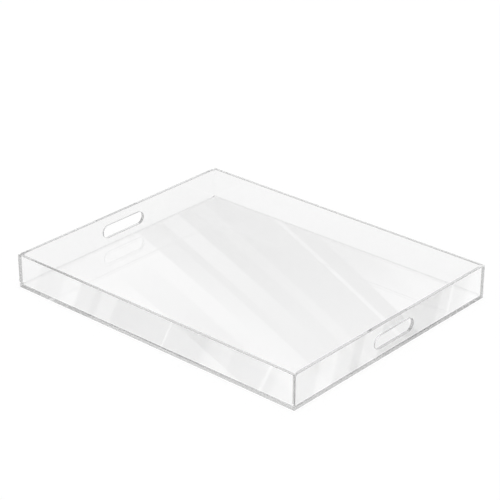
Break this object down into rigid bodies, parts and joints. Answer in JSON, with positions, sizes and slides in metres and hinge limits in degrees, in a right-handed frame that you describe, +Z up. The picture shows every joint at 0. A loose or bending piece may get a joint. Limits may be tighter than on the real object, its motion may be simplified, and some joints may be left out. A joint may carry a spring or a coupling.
{
  "type": "letter tray",
  "caption": "Shallow rectangular tray of clear acrylic sheet with a stadium-shaped hand slot through each end wall.",
  "frame": {"origin": "middle of the underside, on the surface the tray stands on", "axes": "+X along the length towards the right end wall, +Y across the width towards the back wall, +Z up out of the open top"},
  "size_m": [0.508, 0.4064, 0.0508],
  "materials": {
    "clear_acrylic_base": "clear cast sheet, polished faces",
    "clear_acrylic_wall": "clear cast sheet, polished faces and edges"
  },
  "bodies": {
    "root": {"base_panel": "clear_acrylic_base", "front_wall": "clear_acrylic_wall", "back_wall": "clear_acrylic_wall", "left_handle_wall": "clear_acrylic_wall", "right_handle_wall": "clear_acrylic_wall"}
  },
  "joints": []
}
